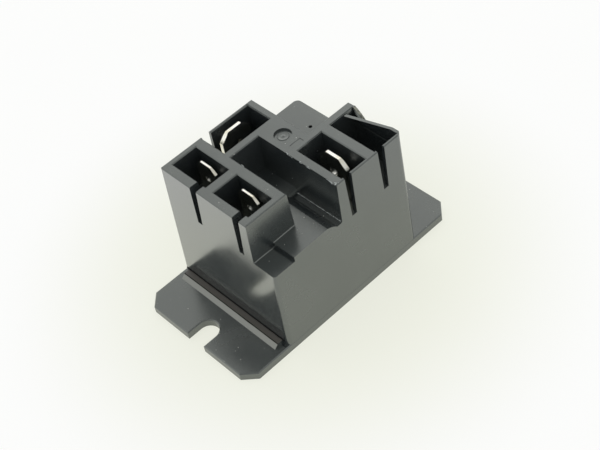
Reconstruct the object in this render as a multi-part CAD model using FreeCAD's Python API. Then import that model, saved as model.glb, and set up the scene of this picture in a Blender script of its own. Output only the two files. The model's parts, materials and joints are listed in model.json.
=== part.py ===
"""Relay in a flange-mounted case: one sprung armature closes a single pair of contacts.

Millimetres. X runs along the case from the plain printed face (-X) to its back, Y across it,
Z up. The origin is the centre of the underside, in the plane that the flanges stand on.
"""
import FreeCAD, Part
import math
import os
from FreeCAD import Vector

os.makedirs("parts", exist_ok=True)

# Case, outside
body_width = 27.4            # across the foot of the case
body_height = 27.35          # underside of the flanges to the rims of the sockets
body_front = 15.9            # origin to the foot of the printed face
body_back = 16.1             # origin to the foot of the back wall
side_draft = 0.019           # each side leans in by this much for each mm of height
front_draft = 0.0385
back_draft = 0.008
front_corner_foot = 1.05     # radius of the front corners at the foot
front_corner_rim = 0.35      # and at the rims
back_corner = 1.0
rim_bevel = 0.18             # the small bevel along every upper edge
wall = 1.3                   # side walls of the hollow under the roof

# Flanges
flange_span = 50.5
flange_thickness = 1.6
flange_corner = 2.33         # 45 degree corner of a flange
flange_edge = 0.2            # bevel of its upper edge
flange_slot_width = 4.2
flange_slot_spacing = 44.9   # between the round ends of the two open slots
ledge_height = 0.8           # the foot ledge of the printed face, above the flange
ledge_depth = 1.2
ledge_slope = 0.8
ledge_margin = 1.35          # from each side of the case to the end of the ledge

# Roof levels
roof_height = 20.0           # the shelf and the inner end of the channel
ramp_low = 19.85             # the channel floor falls to this towards the front
low_floor = 18.9             # the open front corner
step_from_front = 4.65       # from the printed face to the step up
ramp_length = 7.65
groove_width = 1.45
groove_drop = 1.2
groove_bulge = 0.2           # how far its rounded front slope stands out
groove_reach = 9.8           # from the sockets' inner side to the groove's inner end
groove_end_round = 1.0
groove_cove = 0.25           # along the foot of the wall behind the groove
open_draft = 0.03            # of the walls round the channel and the open corner
vent_radius = 0.35
vent_from_back = 3.6
vent_from_side = 7.1

# Sockets, the deep wells round the terminals
coil_socket = 5.22           # along X
coil_socket_width = 8.48     # along Y
load_socket = 5.6            # across its tab
load_socket_width = 10.2     # along its tab
common_socket_width = 10.45
spare_socket = 5.3           # along X, the empty one at the back
coil_socket_floor = 19.4
load_socket_floor = 18.4
socket_draft = 0.02
front_rim_wall = 1.85
coil_back_wall = 1.99
left_rim_wall = 1.1
coil_partition = 1.97
coil_outer_wall = 1.27
load_outer_wall = 0.58
channel_width = 6.43
channel_end_wall = 1.55
contact_front_wall = 1.65
contact_partition = 2.1
common_back_wall = 1.4
load_inner_wall = 1.55
mark_radius = 1.6            # the round recess in the plain top between the sockets
mark_depth = 0.42
core_out_wall = 1.2          # skin over the hollow below that top
roof_under_sockets = 1.4

# Slots in the outer walls of the sockets
slot_rim = 1.6
slot_foot = 1.1
coil_slot_offset = 1.2       # socket's near side to the middle of its slot
load_slot_offset = 0.95
common_slot = 1.85

# The torn and bent upper corner of the empty socket's back wall
tear_height = 3.35           # from the rim down to the crease
tear_fold = 1.4              # from the socket's outer wall to where the rim starts to lean
tear_lean = 2.3              # how far the free end leans in at the rim
tear_drop = 0.25
tear_gap = 0.15
tear_stub = 0.08             # width of the stub left standing at the rim
tear_foot = 3.2              # width of the stub at the crease
tear_bow = 0.12              # how far the torn edge curves in, as a share of its height
rim_corner = 0.3             # along X, the cut corner of the rim beside the tear
rim_corner_side = 0.6        # along Y

# Closing plate
plate_thickness = 1.7
plate_set_in = 0.25
plate_seat = 0.9             # width of the case's edge round the plate
plate_fit = 0.1

# Terminals
tab_width = 6.35
tab_thickness = 0.8
tab_below_rim = 0.4
tab_corner = 1.65
tab_hole = 0.9
tab_hole_drop = 3.6
coil_tab_width = 4.75
coil_tab_thickness = 0.5
coil_tab_corner = 1.1
coil_tab_hole = 0.65
coil_tab_hole_drop = 3.2
tip_share = 0.75             # thickness of a tab's tip, as a share of the tab's
tip_bevel = 0.5
coil_tab_offset = 1.05       # off the middle of its socket, towards the back
no_tab_offset = 0.4
common_tab_offset = 0.75
common_tab_rise = 0.35       # its tip stands this much higher than the others
tab_slot_fit = 0.12

# Coil, magnet frame and armature
bobbin_lift = 0.25           # above the closing plate
bobbin_height = 12.8
bobbin_from_contacts = 0.33  # between its side and the contact terminal
bobbin_flange_thickness = 0.9
bobbin_flange_corner = 1.0
bobbin_side_gap = 0.3        # between its flanges and the yoke
bobbin_end_gap = 0.05
block_margin = 0.6           # round the coil terminals that it grips
block_behind_tab = 1.5
block_below_flange = 0.2     # how far its foot is set into the spool's flange
pin_width = 0.8
pin_below = 0.8              # the terminal's pin, below the top of the spool
winding_margin = 0.4         # from the winding to the side of the spool
wrap_thickness = 0.12
core_share = 0.4375          # radii in the middle of the spool, as shares of half its side
tube_share = 0.5625
tail_share = 0.34
pole_share = 0.66
core_fit = 0.1
pole_thickness = 1.3
pole_gap = 0.1
pole_bevel = 0.3
yoke_thickness = 1.6
yoke_bend = 1.2              # radius of its middle line
yoke_below_bobbin = 2.4      # how much lower than the spool the frame stands
yoke_end_margin = 0.6        # its end stops short of the spool's side
yoke_side_gap = 1.54         # between the yoke and the wall of the case
yoke_end_gap = 0.37
armature_thickness = 1.5
armature_below_yoke = 0.4    # how much lower than the yoke it stands
armature_neck_step = 1.0     # narrower by this on both sides where it sits against the yoke
armature_corner = 1.0
armature_shoulder = 0.5      # from the yoke's leg to the wide part
armature_hinge_gap = 0.4     # from its end to the yoke's outer edge
open_angle = 5.0             # degrees between the closed armature and its rest

# Contacts and springs
fixed_contact_radius = 2.5
fixed_contact_height = 0.95
fixed_contact_tail = 1.7     # radius of its riveted end
moving_contact_radius = 2.3
moving_contact_height = 0.9
contact_bevel = 0.3
contact_tail_lip = 0.3
contact_tail_height = 0.35
contact_clearance = 0.05
contact_leg_margin = 0.6     # of the terminal's leg below the contact
blade_thickness = 0.35
blade_height = 8.0
blade_arm = 5.6              # height of its narrow end
blade_corner = 1.0
blade_neck = 0.6             # from the armature's end to the narrowing
blade_beyond_contact = 2.9
blade_below_spring = 0.4
blade_rivet_margin = 1.5     # from the armature's end, and from the blade's edges
return_spring_thickness = 0.25
return_spring_width = 4.0
return_spring_lap = 2.6
return_spring_tail = 2.2     # beyond its outer rivet
spring_rivet_places = (5.0, 8.5)    # from the pole face
rivet_radius = 0.8
rivet_head = 1.3
rivet_head_height = 0.5
seat_gap = 0.02              # between a piece and what it is fixed to
stop_gap = 0.06              # between the open contact and its stop

# Arm of the common terminal, and the carrier of the fixed contact, both under the roof
arm_height = 1.6
arm_beyond_blade = 4.1
carrier_wall = 1.75
carrier_gap = 0.1
carrier_lap = 0.5            # post and stop, into the bridge
tail_pocket_gap = 0.15
stop_wall = 1.9
rib_lap = 0.5                # ribs of the closing plate, into the plate
rib_margin = 2.0

# Wires
wire_sides = 8
braid_radius = 0.75
braid_run = 4.0              # straight, from the arm
braid_turn_height = 4.2      # above the axis of the coil
braid_turn_y = 1.0
braid_step = 0.4
braid_bends = (2.0, 2.2, 1.6)
lead_radius = 0.25
lead_drop = 0.5              # below the top of the spool
lead_in = 0.4                # from the pin's edge, and from the spool's flange
lead_run = 0.6
lead_angles = (48.0, 20.0)   # where the leads leave the winding, up from its side
lead_bends = (0.3, 0.4)
wire_gap = 0.1


def box(x0, x1, y0, y1, z0, z1):
    return Part.makeBox(x1 - x0, y1 - y0, z1 - z0, Vector(x0, y0, z0))


def prism(points, travel):
    """A flat outline of 3-D points, carried along a vector."""
    corners = [Vector(*p) for p in points]
    return Part.Face(Part.makePolygon(corners + corners[:1])).extrude(Vector(*travel))


def rod(radius, start, end):
    start, end = Vector(*start), Vector(*end)
    return Part.makeCylinder(radius, (end - start).Length, start, end - start)


def tube(outer, inner, start, end):
    return rod(outer, start, end).cut(rod(inner, start, end))


def flat_sided(rings):
    """A solid whose flat faces are given by their rings of points."""
    skin = Part.Compound([Part.Face(Part.makePolygon(ring + ring[:1])) for ring in rings])
    skin.sewShape()
    return Part.makeSolid(skin)


def tapered(low, high, z0, z1):
    """A block between two rectangles, each given as x0, x1, y0, y1."""
    ends = ((low, z0), (high, z1))
    (ax, bx), (cx, dx) = [(r[0], r[1]) for r, z in ends]
    (ay, by), (cy, dy) = [(r[2], r[3]) for r, z in ends]
    y0, y1 = min(ay, cy), max(by, dy)
    x0, x1 = min(ax, cx), max(bx, dx)
    seen_along_y = prism([(ax, y0, z0), (bx, y0, z0), (dx, y0, z1), (cx, y0, z1)], (0, y1 - y0, 0))
    seen_along_x = prism([(x0, ay, z0), (x0, by, z0), (x0, dy, z1), (x0, cy, z1)], (x1 - x0, 0, 0))
    return seen_along_y.common(seen_along_x)


def well(x0, x1, y0, y1, floor, rim, draft, bevel):
    """A socket's hollow: narrower at the floor by its draft, with a bevelled mouth."""
    def grown(by):
        return x0 - by, x1 + by, y0 - by, y1 + by
    hollow = tapered(grown(-draft * (rim - floor)), grown(0.0), floor, rim)
    return hollow.fuse(tapered(grown(0.0), grown(2 * bevel), rim - bevel, rim + bevel))


def rounded_strip(points, radius, thickness):
    """The face of a bent strip in the XY plane, its middle line through the points."""
    middle = [Vector(x, y, 0) for x, y in points]
    sides = []
    for side in (0.5, -0.5):
        edges = []
        offset = side * thickness
        ahead = (middle[1] - middle[0]).normalize()
        last = middle[0] + Vector(-ahead.y, ahead.x, 0) * offset
        for before, corner, after in zip(middle, middle[1:], middle[2:]):
            d1 = (corner - before).normalize()
            d2 = (after - corner).normalize()
            turn = d1.x * d2.y - d1.y * d2.x
            n1 = Vector(-d1.y, d1.x, 0)
            n2 = Vector(-d2.y, d2.x, 0)
            back = radius * math.tan(abs(math.asin(turn)) / 2)
            start = corner - d1 * back + n1 * offset
            end = corner + d2 * back + n2 * offset
            bend = 1 if turn > 0 else -1
            centre = corner - d1 * back + n1 * (bend * radius)
            reach = (start - centre).Length
            mid = (start + end) * 0.5 - centre
            mid = centre + mid.normalize() * reach
            edges.append(Part.makeLine(last, start))
            edges.append(Part.Arc(start, mid, end).toShape())
            last = end
        d = (middle[-1] - middle[-2]).normalize()
        final = middle[-1] + Vector(-d.y, d.x, 0) * offset
        edges.append(Part.makeLine(last, final))
        sides.append(edges)
    left, right = sides
    first = Part.makeLine(right[0].Vertexes[0].Point, left[0].Vertexes[0].Point)
    close = Part.makeLine(left[-1].Vertexes[1].Point, right[-1].Vertexes[1].Point)
    return Part.Face(Part.Wire(Part.sortEdges([first, close] + left + right)[0]))


def wire_along(points, bends, radius):
    """A wire of eight flat sides along straight runs joined by tangent arcs."""
    route = [Vector(*p) for p in points]
    edges = []
    last = route[0]
    for before, corner, after, bend in zip(route, route[1:], route[2:], bends):
        d1 = (corner - before).normalize()
        d2 = (after - corner).normalize()
        half = d1.getAngle(d2) / 2
        back = bend * math.tan(half)
        start = corner - d1 * back
        end = corner + d2 * back
        inward = (d2 - d1).normalize()
        centre = corner + inward * (bend / math.cos(half))
        edges.append(Part.makeLine(last, start))
        edges.append(Part.Arc(start, centre - inward * bend, end).toShape())
        last = end
    edges.append(Part.makeLine(last, route[-1]))
    ahead = (route[1] - route[0]).normalize()
    out = ahead.cross(Vector(0, 0, 1) if abs(ahead.z) < 0.5 else Vector(1, 0, 0)).normalize()
    up = ahead.cross(out)
    ring = []
    for i in range(wire_sides):
        a = 2 * math.pi * i / wire_sides
        ring.append(route[0] + (out * math.cos(a) + up * math.sin(a)) * radius)
    return Part.Wire(edges).makePipeShell([Part.makePolygon(ring + ring[:1])], True, False)


# Case faces at a height
def front_x(z):
    return -(body_front - front_draft * z)


def back_x(z):
    return body_back - back_draft * z


def side_y(z):
    return body_width / 2 - side_draft * z


def walls(z0, z1, inset):
    """The block inside the case's four leaning walls, or further in by an inset."""
    def extent(z):
        y = side_y(z) - inset
        return front_x(z) + inset, back_x(z) - inset, -y, y
    return tapered(extent(z0), extent(z1), z0, z1)


def corner_waste(side):
    """What lies outside a front corner's rounding, a cone that touches both walls."""
    tip_z = body_height * front_corner_foot / (front_corner_foot - front_corner_rim)
    tip = Vector(front_x(tip_z), side * side_y(tip_z), tip_z)
    foot = -1.0
    radius = front_corner_foot * (tip_z - foot) / tip_z
    inward_x = radius * math.hypot(1, front_draft)
    inward_y = radius * math.hypot(1, side_draft)
    middle = Vector(front_x(foot) + inward_x, side * (side_y(foot) - inward_y), foot)
    touches = []
    for normal in (Vector(-1, 0, front_draft), Vector(0, side, side_draft)):
        normal.normalize()
        touches.append(middle + normal * (tip - middle).dot(normal))
    outside = Vector(front_x(foot) - radius, side * (side_y(foot) + radius), foot)
    ring = [outside, touches[0], middle, touches[1]]
    sides = [[tip, a, b] for a, b in zip(ring, ring[1:] + ring[:1])]
    pyramid = flat_sided(sides + [[outside, touches[0], middle], [middle, touches[1], outside]])
    axis = tip - middle
    half_angle = math.asin(radius / axis.Length)
    cone = Part.makeCone(axis.Length * math.tan(half_angle), 0, axis.Length, middle, axis)
    return pyramid.cut(cone)


# Places that the case and its contents share
rim_front = front_x(body_height)
rim_back = back_x(body_height)
rim_side = side_y(body_height)
coil_x0 = rim_front + front_rim_wall
coil_x1 = coil_x0 + coil_socket
coil_block_back = coil_x1 + coil_back_wall
coil_a_y1 = rim_side - left_rim_wall
coil_a_y0 = coil_a_y1 - coil_socket_width
coil_b_y1 = coil_a_y0 - coil_partition
coil_b_y0 = coil_b_y1 - coil_socket_width
coil_block_side = coil_b_y0 - coil_outer_wall
channel_back = coil_block_back + channel_width
contact_x0 = channel_back + contact_front_wall
contact_x1 = contact_x0 + load_socket
spare_x0 = contact_x1 + contact_partition
spare_x1 = spare_x0 + spare_socket
load_y0 = -rim_side + load_outer_wall
load_y1 = load_y0 + load_socket_width
shelf_y = load_y1 + load_inner_wall
common_y1 = rim_side - load_outer_wall
common_y0 = common_y1 - load_socket
common_x0 = coil_block_back
common_x1 = common_x0 + common_socket_width
channel_end = common_y0 - channel_end_wall
shelf_x = common_x1 + common_back_wall
hollow_top = load_socket_floor - roof_under_sockets

coil_tab_x = (coil_x0 + coil_x1) / 2 + coil_tab_offset
coil_tab_ys = ((coil_a_y0 + coil_a_y1) / 2, (coil_b_y0 + coil_b_y1) / 2)
no_tab_x = (contact_x0 + contact_x1) / 2 + no_tab_offset
no_tab_y = (load_y0 + load_y1) / 2
common_tab_x = (common_x0 + common_x1) / 2
common_tab_y = (common_y0 + common_y1) / 2 + common_tab_offset
tab_top = body_height - tab_below_rim

plate_top = plate_set_in + plate_thickness
bobbin_z0 = plate_top + bobbin_lift
axis_z = bobbin_z0 + bobbin_height / 2
bobbin_z1 = bobbin_z0 + bobbin_height
inner_side = side_y(axis_z) - wall
yoke_y1 = inner_side - yoke_side_gap
yoke_y0 = yoke_y1 - yoke_thickness
bobbin_y1 = yoke_y0 - bobbin_side_gap
bobbin_y0 = no_tab_y + tab_width / 2 + bobbin_from_contacts
axis_y = (bobbin_y0 + bobbin_y1) / 2
coil_room = min(bobbin_y1 - bobbin_y0, bobbin_height) / 2
winding_radius = coil_room - winding_margin
bobbin_tube = coil_room * tube_share
core_radius = coil_room * core_share
core_tail = coil_room * tail_share
pole_radius = coil_room * pole_share
yoke_height = bobbin_height - yoke_below_bobbin
yoke_z0 = axis_z - yoke_height / 2
inner_front = front_x(axis_z) + wall
yoke_x0 = inner_front + yoke_end_gap

leg_back = no_tab_x + tab_thickness / 2
leg_front = no_tab_x - tab_thickness / 2
fixed_face = leg_back + fixed_contact_height
blade_x0 = fixed_face + contact_clearance + moving_contact_height
blade_x1 = blade_x0 + blade_thickness
armature_x0 = blade_x0 - armature_thickness
pole_face = armature_x0 - pole_gap
bobbin_x0 = yoke_x0 + yoke_thickness + bobbin_end_gap
bobbin_x1 = pole_face - pole_thickness
hinge = Vector(pole_face, yoke_y1, axis_z)
contact_y = no_tab_y
armature_y0 = bobbin_y0 + yoke_end_margin
armature_y1 = yoke_y1 - armature_hinge_gap
head_top = hollow_top - carrier_gap


def opened(shape):
    """Swings a piece of the closed armature out to its rest."""
    turned = shape.copy()
    turned.rotate(hinge, Vector(0, 0, 1), open_angle)
    return turned


def opened_point(x, y):
    """Where a point of the closed armature is at rest."""
    a = math.radians(open_angle)
    dx, dy = x - hinge.x, y - hinge.y
    return (hinge.x + dx * math.cos(a) - dy * math.sin(a),
            hinge.y + dx * math.sin(a) + dy * math.cos(a))


stop_x = opened_point(blade_x1 + contact_tail_height, contact_y - moving_contact_radius / 2)[0]
stop_x0 = stop_x + stop_gap
arm_z0 = head_top - arm_height
arm_end = opened_point(blade_x1, axis_y)[0] + arm_beyond_blade
spring_rivet_xs = [pole_face - place for place in spring_rivet_places]
blade_rivet_y = armature_y0 + blade_rivet_margin
blade_rivet_rise = blade_height / 2 - blade_rivet_margin
blade_rivet_zs = (axis_z - blade_rivet_rise, axis_z + blade_rivet_rise)


def flange_plate():
    """Both flanges and the foot between them: a plate with cut corners and open slots."""
    half, width, c = flange_span / 2, body_width / 2, flange_corner
    points = []
    for sx, sy in ((-1, -1), (1, -1), (1, 1), (-1, 1)):
        corner = [(sx * half, sy * (width - c), 0), (sx * (half - c), sy * width, 0)]
        points += corner if sx * sy > 0 else corner[::-1]
    plate = prism(points, (0, 0, flange_thickness))
    r = flange_slot_width / 2
    for side in (-1, 1):
        x = side * flange_slot_spacing / 2
        end = side * (half + 1)
        plate = plate.cut(rod(r, (x, 0, -1), (x, 0, flange_thickness + 1)))
        plate = plate.cut(box(min(x, end), max(x, end), -r, r, -1, flange_thickness + 1))
    top = [e for e in plate.Edges if e.BoundBox.ZMin > flange_thickness - 0.01]
    return plate.makeChamfer(flange_edge, top)


def foot_ledge():
    """The raised ledge along the foot of the printed face, with a sloping front."""
    z0, z1 = flange_thickness / 2, flange_thickness + ledge_height
    x_in = front_x(0) + wall / 2
    x_top = front_x(z1) - ledge_depth
    x_low = x_top - ledge_slope
    y = body_width / 2 - ledge_margin
    profile = [(x_in, y, z0), (x_in, y, z1), (x_top, y, z1), (x_low, y, flange_thickness), (x_low, y, z0)]
    return prism(profile, (0, -2 * y, 0))


def along_y(points):
    """Corners in the plane across Y, from places along X and heights."""
    return [Vector(x, 0, z) for x, z in points]


def joined(points):
    return [Part.makeLine(a, b) for a, b in zip(points, points[1:])]


def above_channel_floor():
    """What is open above the channel's floor, with its groove and the low front corner."""
    far = body_front + body_back
    high = body_height + 2
    x_step = front_x(low_floor) + step_from_front
    x_ramp = x_step + ramp_length
    bottom = roof_height - groove_drop
    slope_end = channel_back - groove_width
    cove_x = channel_back - open_draft * (body_height - bottom) - groove_cove
    front = along_y([(-far, high), (-far, low_floor), (x_step, low_floor), (x_step, ramp_low),
                     (x_ramp, roof_height)])
    back = along_y([(slope_end, bottom), (cove_x, bottom), (channel_back, bottom + channel_back - cove_x),
                    (channel_back, high), (-far, high)])
    bend = (front[-1] + back[0]) * 0.5 + Vector(0, 0, groove_bulge)
    slope = Part.Arc(front[-1], bend, back[0]).toShape()
    section = Part.Face(Part.Wire(joined(front) + [slope] + joined(back)))
    section.translate(Vector(0, -far, 0))
    stepped = section.extrude(Vector(0, 2 * far, 0))
    end = load_y0 + groove_reach
    r = groove_end_round
    lift = r * (1 - math.sqrt(0.5))
    deep = bottom - 1
    side = [Vector(-far, y, z) for y, z in ((end, roof_height - r), (end, deep), (-far, deep), (-far, high),
                                            (far, high), (far, roof_height), (end + r, roof_height))]
    rounding = Part.Arc(side[-1], Vector(-far, end + lift, roof_height - lift), side[0]).toShape()
    along_x = Part.Face(Part.Wire([rounding] + joined(side)))
    return along_x.extrude(Vector(2 * far, 0, 0)).common(stepped)


def open_well(x0, x1, y0, y1, z0):
    """A part of the top that is open to the side, with a bevel along the edges that it leaves."""
    return well(x0, x1, y0, y1, z0, body_height, open_draft, rim_bevel)


def socket(x0, x1, y0, y1, floor):
    return well(x0, x1, y0, y1, floor, body_height, socket_draft, rim_bevel)


def wall_slot(middle, rim_width, foot_width, floor, axis, near, far):
    """A slot through a socket's outer wall, narrower at its foot."""
    rise = (body_height - floor)
    over = 1.0
    spread = (rim_width - foot_width) / 2 * over / rise
    half = ((foot_width / 2, floor), (rim_width / 2 + spread, body_height + over))
    ring = [(-half[0][0], half[0][1]), (half[0][0], half[0][1]),
            (half[1][0], half[1][1]), (-half[1][0], half[1][1])]
    if axis == "x":
        return prism([(near, middle + s, z) for s, z in ring], (far - near, 0, 0))
    return prism([(middle + s, near, z) for s, z in ring], (0, far - near, 0))


def tab_slot(x, y, along_x, along_y, fit, bottom):
    """The room round a terminal, up to its tip."""
    dx = along_x / 2 + fit
    dy = along_y / 2 + fit
    return box(x - dx, x + dx, y - dy, y + dy, bottom, tab_top)


def torn_corner():
    """The back wall of the empty socket above its crease: a bent flap and a standing stub."""
    crease = body_height - tear_height
    x_in, x_out = spare_x1, back_x(crease)
    y0, y1 = load_y0, load_y1
    fold, tip = y0 + tear_fold, y1 - tear_gap
    rim, tip_z = body_height, body_height - tear_drop
    tip_out, tip_in = rim_back - tear_lean, x_in - tear_lean
    low = [Vector(x, y, crease) for x, y in
           ((x_in, y0), (x_out, y0), (x_out, fold), (x_out, tip), (x_in, tip), (x_in, fold))]
    top = [Vector(x_in, y0, rim), Vector(rim_back, y0, rim), Vector(rim_back, fold, rim),
           Vector(tip_out, tip, tip_z), Vector(tip_in, tip, tip_z), Vector(x_in, fold, rim)]
    faces = [low, [top[0], top[1], top[2], top[5]], top[2:]]
    for i in range(len(low)):
        j = (i + 1) % len(low)
        faces += [[low[i], low[j], top[j]], [low[i], top[j], top[i]]]
    flap = flat_sided(faces)
    a = Vector(x_in, y1, crease)
    b = Vector(x_in, y1, rim)
    c = Vector(x_in, y1 - tear_stub, rim)
    d = Vector(x_in, y1 - tear_foot, crease)
    bulge = (c + d) * 0.5 + Vector(0, tear_bow * tear_height, -tear_bow * tear_foot)
    edges = [Part.makeLine(a, b), Part.makeLine(b, c), Part.Arc(c, bulge, d).toShape(), Part.makeLine(d, a)]
    stub = Part.Face(Part.Wire(edges)).extrude(Vector(rim_back - x_in, 0, 0))
    opening = box(x_in - 1, body_back + 2, y0, y1, crease, rim + 2)
    return opening, flap.fuse(stub)


def housing():
    body = walls(0, body_height, 0)
    back = [e for e in body.Edges if e.BoundBox.XMin > 0 and e.BoundBox.ZLength > flange_thickness]
    body = body.makeFillet(back_corner, back)
    rims = [e for e in body.Edges if e.BoundBox.ZMin > body_height - rim_bevel / 2]
    body = body.makeChamfer(rim_bevel, rims)
    for side in (-1, 1):
        body = body.cut(corner_waste(side))
    body = body.fuse([flange_plate(), foot_ledge()])
    far = body_front + body_back
    deep = roof_height - 2 * groove_drop
    above_floor = above_channel_floor()
    x_corner, y_corner = rim_back - rim_corner, shelf_y - rim_corner_side
    cuts = [
        open_well(coil_block_back, channel_back, -far, channel_end, deep).common(above_floor),
        open_well(-far, channel_back, -far, coil_block_side, deep).common(above_floor),
        open_well(shelf_x, far, shelf_y, far, roof_height),
        prism([(x_corner, shelf_y, roof_height), (rim_back, y_corner, roof_height),
               (far, y_corner, roof_height), (far, shelf_y, roof_height)], (0, 0, far)),
        socket(coil_x0, coil_x1, coil_a_y0, coil_a_y1, coil_socket_floor),
        socket(coil_x0, coil_x1, coil_b_y0, coil_b_y1, coil_socket_floor),
        socket(contact_x0, contact_x1, load_y0, load_y1, load_socket_floor),
        socket(spare_x0, spare_x1, load_y0, load_y1, load_socket_floor),
        socket(common_x0, common_x1, common_y0, common_y1, coil_socket_floor),
    ]
    for y0 in (coil_a_y0, coil_b_y0):
        cuts.append(wall_slot(y0 + coil_slot_offset, slot_rim, slot_foot, coil_socket_floor, "x",
                              -far, coil_x0 + rim_bevel))
    for x0 in (contact_x0, spare_x0):
        cuts.append(wall_slot(x0 + load_slot_offset, slot_rim, slot_foot, load_socket_floor, "y",
                              -far, load_y0 + rim_bevel))
    cuts.append(wall_slot(common_x0 + common_slot / 2, common_slot, common_slot, coil_socket_floor, "y",
                          common_y1 - rim_bevel, far))
    mark_x = (channel_back + shelf_x) / 2
    mark_y = (shelf_y + channel_end) / 2
    mark_z = body_height - mark_depth
    cuts.append(rod(mark_radius, (mark_x, mark_y, mark_z), (mark_x, mark_y, body_height + 1)))
    cuts.append(box(channel_back + core_out_wall, shelf_x - core_out_wall,
                    load_y1 + 2 * core_out_wall, channel_end - core_out_wall / 2,
                    hollow_top - 1, mark_z - core_out_wall))
    cuts.append(walls(0, hollow_top, wall))
    cuts.append(walls(-1, plate_top, plate_seat))
    vent_x = back_x(roof_height) - vent_from_back
    vent_y = side_y(roof_height) - vent_from_side
    cuts.append(rod(vent_radius, (vent_x, vent_y, hollow_top - 1), (vent_x, vent_y, roof_height + 1)))
    fit, low = tab_slot_fit, hollow_top - 1
    for y in coil_tab_ys:
        cuts.append(tab_slot(coil_tab_x, y, coil_tab_thickness, coil_tab_width, fit, low))
    cuts.append(tab_slot(no_tab_x, no_tab_y, tab_thickness, tab_width, fit, low))
    cuts.append(tab_slot(common_tab_x, common_tab_y, tab_width, tab_thickness, fit, low))
    for cutter in cuts:
        body = body.cut(cutter)
    opening, torn = torn_corner()
    return body.cut(opening).fuse(torn).removeSplitter()


def bottom_plate():
    plate = walls(plate_set_in, plate_top, plate_seat + plate_fit)
    ribs = [
        box(yoke_x0, yoke_x0 + yoke_thickness, bobbin_y0 + rib_margin, yoke_y0 - rib_margin,
            plate_top - rib_lap, yoke_z0 - seat_gap),
        box(bobbin_x0 + rib_margin, bobbin_x1 - rib_margin, yoke_y0, yoke_y1,
            plate_top - rib_lap, yoke_z0 - seat_gap),
    ]
    return plate.fuse(ribs).removeSplitter()


def tab_blank(width, thickness, corner, hole, hole_drop, bottom):
    """A flat terminal standing on Z, wide along Y and thin along X, about the origin."""
    w, t = width / 2, thickness / 2
    face = [(-t, -w, bottom), (-t, w, bottom), (-t, w, tab_top - corner), (-t, w - corner, tab_top),
            (-t, corner - w, tab_top), (-t, -w, tab_top - corner)]
    blank = prism(face, (thickness, 0, 0))
    tip = tip_share * t
    side = [(-t, -w, bottom), (t, -w, bottom), (t, -w, tab_top - tip_bevel), (tip, -w, tab_top),
            (-tip, -w, tab_top), (-t, -w, tab_top - tip_bevel)]
    blank = blank.common(prism(side, (0, width, 0)))
    z = tab_top - hole_drop
    return blank.cut(rod(hole, (-thickness, 0, z), (thickness, 0, z)))


def coil_terminal(y):
    """A coil tab whose foot ends in a narrow pin beside the winding."""
    foot = bobbin_z1 + pin_below
    blank = tab_blank(coil_tab_width, coil_tab_thickness, coil_tab_corner, coil_tab_hole,
                      coil_tab_hole_drop, foot)
    outward = 1 if y > axis_y else -1
    edge = outward * coil_tab_width / 2
    inner = edge - outward * pin_width
    t = coil_tab_thickness / 2
    pin = box(-t, t, min(edge, inner), max(edge, inner), bobbin_z1 - pin_below, foot)
    blank = blank.fuse(pin).removeSplitter()
    blank.translate(Vector(coil_tab_x, y, 0))
    return blank


def normally_open_terminal():
    leg_end = axis_z - fixed_contact_radius - contact_leg_margin
    blank = tab_blank(tab_width, tab_thickness, tab_corner, tab_hole, tab_hole_drop, leg_end)
    blank.translate(Vector(no_tab_x, no_tab_y, 0))
    shank = fixed_contact_radius / 2 + seat_gap
    return blank.cut(rod(shank, (leg_front - 1, contact_y, axis_z), (leg_back + 1, contact_y, axis_z)))


def common_terminal():
    """The common tab with an arm under the roof that carries the braid."""
    foot = arm_z0 - common_tab_rise
    blank = tab_blank(tab_width, tab_thickness, tab_corner, tab_hole, tab_hole_drop, foot)
    blank.rotate(Vector(0, 0, 0), Vector(0, 0, 1), 90)
    blank.translate(Vector(common_tab_x, common_tab_y, common_tab_rise))
    t = tab_thickness / 2
    arm = box(common_tab_x, arm_end, common_tab_y - t, common_tab_y + t, arm_z0, head_top)
    return blank.fuse(arm).removeSplitter()


def fixed_contact():
    y, z = contact_y, axis_z
    head = rod(fixed_contact_radius, (leg_back, y, z), (fixed_face, y, z))
    rim = [e for e in head.Edges if e.BoundBox.XMin > fixed_face - 0.01]
    head = head.makeChamfer(contact_bevel, rim)
    shank = rod(fixed_contact_radius / 2, (leg_front, y, z), (leg_back, y, z))
    tail = rod(fixed_contact_tail, (leg_front - contact_tail_height, y, z), (leg_front, y, z))
    return head.fuse([shank, tail]).removeSplitter()


def bobbin():
    """Moulded spool with a block on its front flange that grips the coil terminals."""
    t = bobbin_flange_thickness
    inner = core_radius + core_fit
    body = tube(bobbin_tube, inner, (bobbin_x0, axis_y, axis_z), (bobbin_x1, axis_y, axis_z))
    for x in (bobbin_x0, bobbin_x1 - t):
        plate = box(x, x + t, bobbin_y0, bobbin_y1, bobbin_z0, bobbin_z1)
        edges = [e for e in plate.Edges if abs(e.BoundBox.XLength - t) < 0.01]
        plate = plate.makeFillet(bobbin_flange_corner, edges)
        hole = rod(inner, (x - 1, axis_y, axis_z), (x + t + 1, axis_y, axis_z))
        body = body.fuse(plate.cut(hole))
    reach = coil_tab_width / 2 + block_margin
    block = box(bobbin_x0, coil_tab_x + coil_tab_thickness / 2 + block_behind_tab,
                coil_tab_ys[1] - reach, coil_tab_ys[0] + reach, bobbin_z1 - block_below_flange, head_top)
    low = bobbin_z1 - 1
    for y in coil_tab_ys:
        block = block.cut(tab_slot(coil_tab_x, y, coil_tab_thickness, coil_tab_width, seat_gap, low))
    return body.fuse(block).removeSplitter()


def winding_span():
    return bobbin_x0 + bobbin_flange_thickness + seat_gap, bobbin_x1 - bobbin_flange_thickness - seat_gap


def coil_winding():
    x0, x1 = winding_span()
    return tube(winding_radius, bobbin_tube + seat_gap, (x0, axis_y, axis_z), (x1, axis_y, axis_z))


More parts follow.
